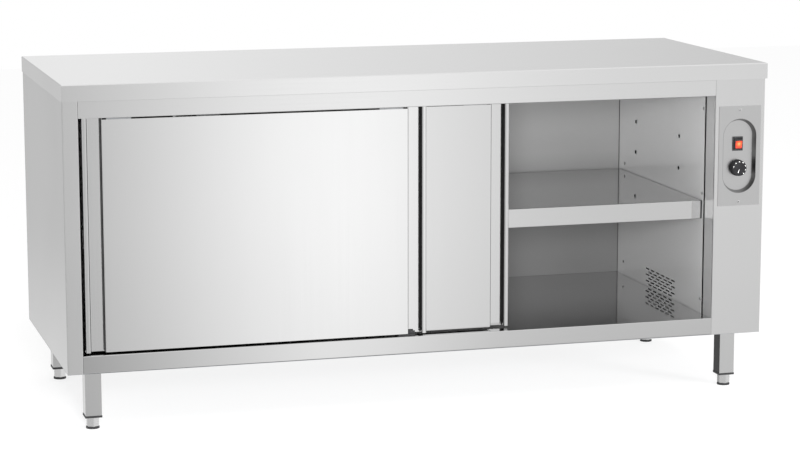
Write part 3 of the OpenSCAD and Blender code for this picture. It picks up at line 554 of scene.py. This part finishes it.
# Prism: an outline of (x, y) pulled up from one height to another, its edges softened
def prismMesh(name, outline, low, high, soft=0.0):
    shape = bmesh.new()
    ends = [[shape.verts.new(metres((x, y, z))) for x, y in outline] for z in (low, high)]
    for k in range(len(outline)):
        n = (k + 1) % len(outline)
        shape.faces.new((ends[0][k], ends[0][n], ends[1][n], ends[1][k]))
    shape.faces.new(ends[0][::-1])
    shape.faces.new(ends[1])
    if soft:
        bmesh.ops.bevel(shape, geom=shape.edges[:], offset=soft / 1000, segments=3, affect="EDGES",
                        clamp_overlap=True)
    return cleanMesh(name, shape, crisp["cut"])


# stands: the nodes that the piece replaces
def addPiece(name, mesh, finish, body, stands=(), turn=Matrix(), place=(0, 0, 0)):
    mesh.transform(Matrix.Translation(metres(place)) @ turn)
    if finish:
        mesh.materials.append(finish)
    piece = bpy.data.objects.new(name, mesh)
    collection.objects.link(piece)
    if stands:
        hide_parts(*stands)
    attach(piece, body)


# Geometry Nodes tree that sets one small shape at many places, each turned to face its own way
def hardwareTree():
    tree = bpy.data.node_groups.new("hardwareSpread", "GeometryNodeTree")
    sockets = {"Places": "Geometry", "Shape": "Object", "Size": "Float", "Finish": "Material"}
    for label, kind in sockets.items():
        tree.interface.new_socket(label, in_out="INPUT", socket_type="NodeSocket" + kind)
    tree.interface.new_socket("Hardware", in_out="OUTPUT", socket_type="NodeSocketGeometry")
    g = NodeTree(tree)
    given = g.parts("NodeGroupInput")
    facing = g.add("GeometryNodeInputNamedAttribute", {"data_type": "FLOAT_VECTOR"},
                   {"Name": "facing"})
    turn = g.add("FunctionNodeAlignRotationToVector", {"axis": "Z"}, {"Vector": facing})
    shape = g.add("GeometryNodeObjectInfo", None, {"Object": given("Shape")}, "Geometry")
    many = g.add("GeometryNodeInstanceOnPoints", None,
                 {"Points": given("Places"), "Instance": shape, "Rotation": turn, "Scale": given("Size")})
    real = g.add("GeometryNodeRealizeInstances", None, {"Geometry": many})
    dressed = g.add("GeometryNodeSetMaterial", None, {"Geometry": real, "Material": given("Finish")})
    g.add("NodeGroupOutput", None, {"Hardware": dressed})
    return tree


hardware = hardwareTree()


# places: pairs of a point and the way that the shape's Z faces
def spread(name, shape, finish, places, body="cabinet", stands=()):
    points = bpy.data.meshes.new(name + "Places")
    points.from_pydata([metres(place) for place, way in places], [], [])
    facing = points.attributes.new("facing", "FLOAT_VECTOR", "POINT")
    facing.data.foreach_set("vector", [c for place, way in places for c in way])
    holder = bpy.data.objects.new(name + "Holder", points)
    sample = bpy.data.objects.new(name + "Sample", shape)
    collection.objects.link(holder)
    collection.objects.link(sample)
    modifier = holder.modifiers.new("spread", "NODES")
    modifier.node_group = hardware
    inputs = {s.name: s.identifier for s in hardware.interface.items_tree if s.in_out == "INPUT"}
    modifier[inputs["Shape"]] = sample
    modifier[inputs["Size"]] = 1.0  # the shapes are made at their real size
    modifier[inputs["Finish"]] = finish
    graph = bpy.context.evaluated_depsgraph_get()
    mesh = bpy.data.meshes.new_from_object(holder.evaluated_get(graph), depsgraph=graph)
    for helper in (holder, sample):
        bpy.data.objects.remove(helper)
    addPiece(name, mesh, None, body, stands)


chamber = {"left": -860, "right": 762.5}  # inner faces of the end walls


def onBothWalls(look):
    walls = ((chamber["left"], 1), (chamber["right"], -1))
    return [((x, y, z), (way, 0, 0)) for x, way in walls for y in look["depths"] for z in look["heights"]]


# Blind rivets: a bright domed head in a black ring, which is painted shadow around the head
rivets = {
    "depths": (-266, 288),
    "heights": (230, 508, 728),
    "head": [(0, -4), (1.6, -4), (1.6, 0), (3.1, 0), (3.1, 0.5), (2.6, 1.1), (1.5, 1.45), (0, 1.5)],
    "ring": [(3.1, 0), (4.0, 0), (4.0, 0.35), (3.5, 0.6), (3.1, 0.5)],
}
rivetPlaces = onBothWalls(rivets)
rivetHead = turnedMesh("rivetHead", rivets["head"])
rivetShadowRing = turnedMesh("rivetShadowRing", rivets["ring"])
spread("rivetHeads", rivetHead, bright, rivetPlaces, stands=["wall_rivets"])
spread("rivetRings", rivetShadowRing, blackPlastic, rivetPlaces)

# Threaded inserts: a pale flange around a countersunk thread in near-black, which is painted shade in the
# bore
inserts = {
    "depths": (-106, 205),
    "heights": (467.5, 551.5, 635.5),
    "rim": [(4.5, -12), (4.5, 0), (6.0, 0), (6.0, 0.5), (5.8, 0.8), (5.2, 0.8), (2.6, -2.6),
            (2.6, -12)],
    "thread": [(0, -11.9), (2.6, -11.9), (2.6, -2.6), (5.2, 0.79), (5.0, 0.79), (2.46, -2.5),
               (2.46, -11.6), (0, -11.6)],
}
insertPlaces = onBothWalls(inserts)
insertRim = turnedMesh("insertRim", inserts["rim"])
insertThreadShade = turnedMesh("insertThreadShade", inserts["thread"])
spread("insertRims", insertRim, zinc, insertPlaces, stands=["shelf_inserts"])
spread("insertThreads", insertThreadShade, shadeBlack, insertPlaces)

# Pan head screws with a cross recess, drawn as a near-black cross of painted shade: two on the control
# plate, six on the rear panel
screws = {
    "plate": (830.25, -344, 613),
    "plateStep": 118,
    "rear": (887, 348),
    "rearHeights": (210, 480, 750),
    "head": [(0, -8), (1.9, -8), (1.9, 0), (4.0, 0), (4.0, 0.5), (3.5, 1.2), (2.4, 1.55), (1.5, 1.6),
             (0.5, 0.7), (0, 0.7)],
    "cross": [(-1.3, -0.25), (-0.25, -0.25), (-0.25, -1.3), (0.25, -1.3), (0.25, -0.25), (1.3, -0.25),
              (1.3, 0.25), (0.25, 0.25), (0.25, 1.3), (-0.25, 1.3), (-0.25, 0.25), (-1.3, 0.25)],
    "crossHeights": (0.75, 1.62),
}


def screwPlaces(look):
    x, y, z = look["plate"]
    front = [((x, y, z + s * look["plateStep"]), (0, -1, 0)) for s in (-1, 1)]
    x, y = look["rear"]
    return front + [((s * x, y, z), (0, 1, 0)) for s in (-1, 1) for z in look["rearHeights"]]


screwHead = turnedMesh("screwHead", screws["head"])
spread("screwHeads", screwHead, bright, screwPlaces(screws), stands=["cover_screws"])
shadedScrewCross = prismMesh("shadedScrewCross", screws["cross"], *screws["crossHeights"])
spread("screwCrosses", shadedScrewCross, shadeBlack, screwPlaces(screws))
print("small hardware ready")

# Thermostat knob: a fluted skirt, marks near the rim and a pointer, at clockwise bearings in degrees
knob = {
    "centre": (830.25, -331, 581),
    "sides": 144,
    "flutes": 36,
    "profile": [(0, 12.2), (3.1, 12.2), (3.1, 0), (19.8, 0), (21, 0.8), (21, 2.6), (20.7, 3.2),
                (20.6, 3.8, 0.7), (20.2, 13.2, 0.7), (19.7, 14.6), (18.9, 15.6), (17.8, 16), (13.2, 16),
                (12.6, 15.7), (0, 15.7)],
    "marks": (286, 322, 358, 33, 69, 105, 141),
    "markReach": 17.0,
    "markHeight": 15.98,
    "markSides": 20,
    "markProfile": [(0, -0.2), (1.15, -0.2), (1.15, 0.06), (1.0, 0.12), (0, 0.12)],
    "pointer": 198,
    "pointerOutline": [(-0.55, 3.5), (0.55, 3.5), (0.55, 12.2), (-0.55, 12.2)],
    "pointerHeights": (15.5, 15.82),
}


def aroundKnob(look, bearing):
    (x, y, z), reach = look["centre"], look["markReach"]
    a = math.radians(bearing)
    return (x + reach * math.sin(a), y - look["markHeight"], z + reach * math.cos(a))


towardsFront = Matrix.Rotation(math.radians(90), 4, "X")  # Z faces the front, and Y stays upright
knobCap = turnedMesh("knobCap", knob["profile"], knob["sides"], knob["flutes"])
addPiece("knobCap", knobCap, knobPlastic, "knob", ["thermostat_knob"], towardsFront, knob["centre"])
knobMark = turnedMesh("knobMark", knob["markProfile"], knob["markSides"])
markPlaces = [(aroundKnob(knob, bearing), (0, -1, 0)) for bearing in knob["marks"]]
spread("knobMarks", knobMark, whiteInk, markPlaces, "knob")
knobPointer = prismMesh("knobPointer", knob["pointerOutline"], *knob["pointerHeights"])
pointerTurn = towardsFront @ Matrix.Rotation(math.radians(-knob["pointer"]), 4, "Z")
addPiece("knobPointer", knobPointer, whiteInk, "knob", (), pointerTurn, knob["centre"])

# Rocker: a black cap, pressed in at its lower end, with a clear lens on its face
rocker = {
    "pivot": (830.25, -330, 643),
    "tilt": 8,  # degrees
    "reach": 13.5,  # radius of the ends about the pivot
    "width": 21.4,
    "face": 8,  # how far the face and the back stand off the pivot
    "back": 6,
    "dip": 1.5,
    "steps": 8,
    "soft": 0.7,
    "lens": [(-8.4, -10.6), (-7.1, 0), (-8.5, 8.8), (-6.3, 8.8), (-5.8, 0), (-6.3, -10.6)],
    "lensEnds": (-8.4, 9.6),
    "lensSoft": 0.35,
}


def rockerOutline(look):
    reach, steps = look["reach"], look["steps"]
    edge = math.asin(look["face"] / reach)
    back = math.asin(look["back"] / reach)
    arc = [edge - (edge + back) * k / steps for k in range(steps + 1)]
    upper = [(-reach * math.sin(a), reach * math.cos(a)) for a in arc]
    lower = [(y, -z) for y, z in reversed(upper)]
    return [(look["dip"] - look["face"], 0)] + upper + lower


# the outline's plane is turned to Y and Z, then tilted about the pivot
sideways = Matrix(((0, 0, 1, 0), (1, 0, 0, 0), (0, 1, 0, 0), (0, 0, 0, 1)))
rockerTurn = Matrix.Rotation(math.radians(rocker["tilt"]), 4, "X") @ sideways
half = rocker["width"] / 2
rockerCap = prismMesh("rockerCap", rockerOutline(rocker), -half, half, rocker["soft"])
addPiece("rockerCap", rockerCap, blackPlastic, "switch_rocker", ["switch_rocker"], rockerTurn,
         rocker["pivot"])
rockerLens = prismMesh("rockerLens", rocker["lens"], *rocker["lensEnds"], rocker["lensSoft"])
addPiece("rockerLens", rockerLens, rockerLamp, "switch_rocker", (), rockerTurn, rocker["pivot"])
print("controls ready")

# Height screws: a chamfered hexagon on a threaded spindle
foot = {
    "columns": {"left": -830, "right": 830},
    "rows": {"front": -272, "rear": 278},
    "flats": 28.5,
    "chamfer": 1.1,
    "low": 5.2,  # heights of the hexagon's ends and the spindle's top
    "high": 28.7,
    "top": 94.7,
    "toe": (5, 2),  # radius, and height of its lower end
    "neck": (1, 2),  # between these heights in the hexagon the toe becomes the root
    "thread": (6.0, 5.2),  # radius of the crests and the root
    "pitch": 1.75,
    "crest": (0.45, 0.55),  # where a crest begins and ends, as a share of the pitch
    "threadGap": 0.4,
    "tip": 0.5,
    "sides": 24,
}


def spindleMesh(look):
    (outer, root), (toe, bottom) = look["thread"], look["toe"]
    pitch, low, high, top = look["pitch"], look["low"], look["high"], look["top"]
    neckLow, neckHigh = look["neck"]
    profile = [(0, bottom), (toe, bottom), (toe, low + neckLow), (root, low + neckHigh)]
    for k in range(int((top - high - 1) / pitch)):
        z = high + look["threadGap"] + k * pitch
        profile += [(root, z)] + [(outer, z + pitch * share) for share in look["crest"]]
    profile += [(root, top - look["tip"]), (0, top)]
    return turnedMesh("spindle", profile, look["sides"])


def hexagonMesh(look):
    reach = look["flats"] / 2 / math.cos(math.pi / 6)
    angles = [math.radians(30 + 60 * k) for k in range(6)]
    outline = [(reach * math.cos(a), reach * math.sin(a)) for a in angles]
    return prismMesh("hexagon", outline, look["low"], look["high"], look["chamfer"])


for endX, x in foot["columns"].items():
    for endY, y in foot["rows"].items():
        node = f"foot_spindle_{endY}_{endX}"
        name = f"footScrew{endY.title()}{endX.title()}"
        both = bmesh.new()
        for part in (spindleMesh(foot), hexagonMesh(foot)):
            both.from_mesh(part)
        screw = cleanMesh(name, both, crisp["cut"])
        addPiece(name, screw, bright, node, [node], place=(x, y, 0))
print("feet ready")

# Studio: pale floor, soft lamps and a world that only polished metal sees in detail
studio = {
    "floorReach": 16,
    "floorTone": 0.93,
    "floorWhite": 1.08,  # level of the floor's own white, and its share for the camera
    "floorShare": 0.66,
    "worldDiffuse": 0.80,
    # level of the surroundings against the bearing in radians: 0 is the front, positive to the right
    "bearings": [(-3.15, 0.70), (-2.99, 0.64), (-2.80, 0.32), (-2.60, 0.20), (-2.2, 0.35),
                 (-1.57, 0.55), (-0.60, 0.70), (0.06, 0.42), (0.14, 0.50), (0.165, 0.66), (0.19, 0.86),
                 (0.25, 1.24), (0.28, 1.13), (0.31, 0.88), (0.36, 0.78), (0.46, 0.76), (1.1, 0.90),
                 (1.7, 0.66), (2.72, 0.62), (2.99, 0.89), (3.15, 0.76)],
    "bearingLimit": 3.15,
    "rampTop": 2,  # the ramp holds levels up to this one
    "frontSlope": 4,
    "low": (0.17, 14),  # start and slope of what lies below the horizon, and its change of level
    "lowFront": 0.16,
    "lowRear": 0.40,
    "high": (0.25, 3),  # start and slope of what lies overhead, and its own level
    "overhead": 0.92,
}


def addFloor(look):
    mesh = bpy.data.meshes.new("studioFloor")
    r = look["floorReach"] / 2
    mesh.from_pydata([(-r, -r, 0), (r, -r, 0), (r, r, 0), (-r, r, 0)], [], [(0, 1, 2, 3)])
    floor = bpy.data.objects.new("studioFloor", mesh)
    collection.objects.link(floor)
    f = Finish("studioFloorPaper")
    paper = f.add("ShaderNodeBsdfDiffuse", None, {"Color": rgb(look["floorTone"])})
    white = f.add("ShaderNodeEmission", None, {"Color": rgb(1), "Strength": look["floorWhite"]})
    seen = f.add("ShaderNodeLightPath", out="Is Camera Ray")
    both = f.add("ShaderNodeMixShader", None, {0: seen * look["floorShare"], 1: paper, 2: white})
    f.add("ShaderNodeOutputMaterial", None, {"Surface": both})
    mesh.materials.append(f.material)
    floor.visible_glossy = False


def addWorld(look):
    world = bpy.data.worlds.new("studioWorld")
    bpy.context.scene.world = world
    world.use_nodes = True
    w = NodeTree(world.node_tree)
    split = w.parts("ShaderNodeSeparateXYZ", w.add("ShaderNodeTexCoord", out="Generated"))
    x, y, z = [split(axis) for axis in range(3)]
    limit, top = look["bearingLimit"], look["rampTop"]
    stops = [((b + limit) / (2 * limit), rgb(level / top)) for b, level in look["bearings"]]
    turned = (w.maths("ARCTAN2", x, y * -1) + limit) / (2 * limit)
    around = w.add("ShaderNodeValToRGB", {"stops": stops}, {"Fac": turned}) * top
    (lowStart, lowSlope), (highStart, highSlope) = look["low"], look["high"]
    front = w.limit(y * -look["frontSlope"] + 0.5)
    low = w.limit((z * -1 - lowStart) * lowSlope)
    lowFront = 1 - low * front * look["lowFront"]
    lowRear = 1 + low * (1 - front) * look["lowRear"]
    overhead = w.limit((z - highStart) * highSlope)
    studioLight = around * lowFront * lowRear * (1 - overhead) + overhead * look["overhead"]
    path = w.parts("ShaderNodeLightPath")
    seen, glossy = path("Is Camera Ray"), path("Is Glossy Ray")
    unseen = glossy * studioLight + (1 - glossy) * look["worldDiffuse"]
    level = seen + (1 - seen) * unseen
    background = w.add("ShaderNodeBackground", None, {"Color": rgb(1), "Strength": level})
    w.add("ShaderNodeOutputWorld", None, {"Surface": background})


lamps = {
    "overheadLamp": {"place": (0.6, -2.2, 3.6), "aim": (0, 0, 0.4), "size": 2.4, "power": 60},
    "openingLamp": {"place": (-1.2, -5.0, 1.3), "aim": (0.6, 0, 0.5), "size": 1.2, "power": 350},
    "fillLamp": {"place": (3.4, -3.6, 1.2), "aim": (-0.2, 0, 0.45), "size": 1.4, "power": 120},
}


def addLamp(name, look):
    data = bpy.data.lights.new(name, "AREA")
    data.shape, data.size, data.energy = "DISK", look["size"], look["power"]
    lamp = bpy.data.objects.new(name, data)
    lamp.location = look["place"]
    towards = Vector(look["aim"]) - Vector(look["place"])
    lamp.rotation_euler = towards.to_track_quat("-Z", "Y").to_euler()
    lamp.visible_glossy = False
    collection.objects.link(lamp)


addFloor(studio)
addWorld(studio)
for name, look in lamps.items():
    addLamp(name, look)
bpy.context.scene.view_settings.view_transform = "Standard"
print("studio ready")
